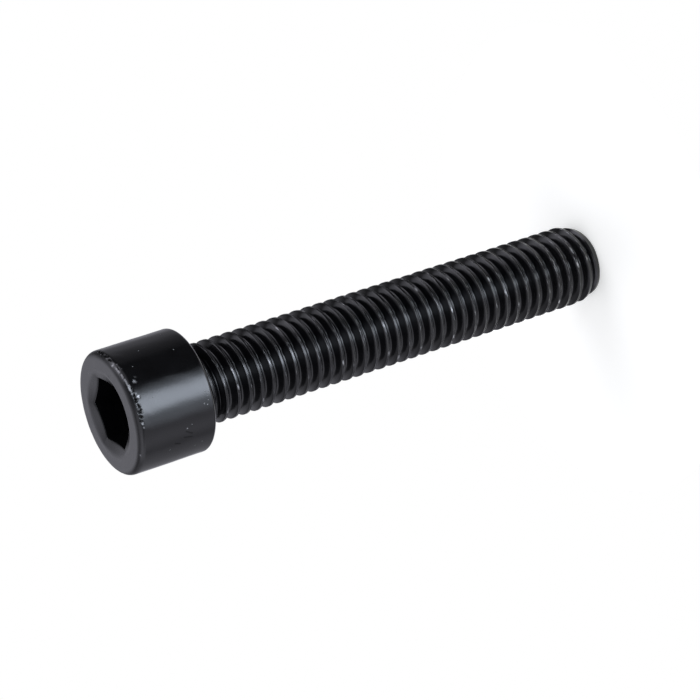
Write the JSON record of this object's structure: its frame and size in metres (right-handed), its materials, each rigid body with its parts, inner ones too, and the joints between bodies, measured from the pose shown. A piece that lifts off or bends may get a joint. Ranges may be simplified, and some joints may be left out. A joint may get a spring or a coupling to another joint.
{
  "type": "seat post bolt",
  "caption": "Socket head cap screw with a plain cylinder head, a hexagon socket and a right-hand thread up to the head, in blackened steel.",
  "frame": {"origin": "centre of the flat end of the thread, on the screw's axis, at the bottom", "axes": "+Z along the axis from the threaded end to the head; a corner of the socket on +X"},
  "size_m": [0.0118, 0.0118, 0.053],
  "materials": {
    "blackened_steel": "black oxide over forged and rolled steel, satin, with bright chips on the head's rim"
  },
  "bodies": {
    "root": {"cap_screw": "blackened_steel"}
  },
  "joints": []
}
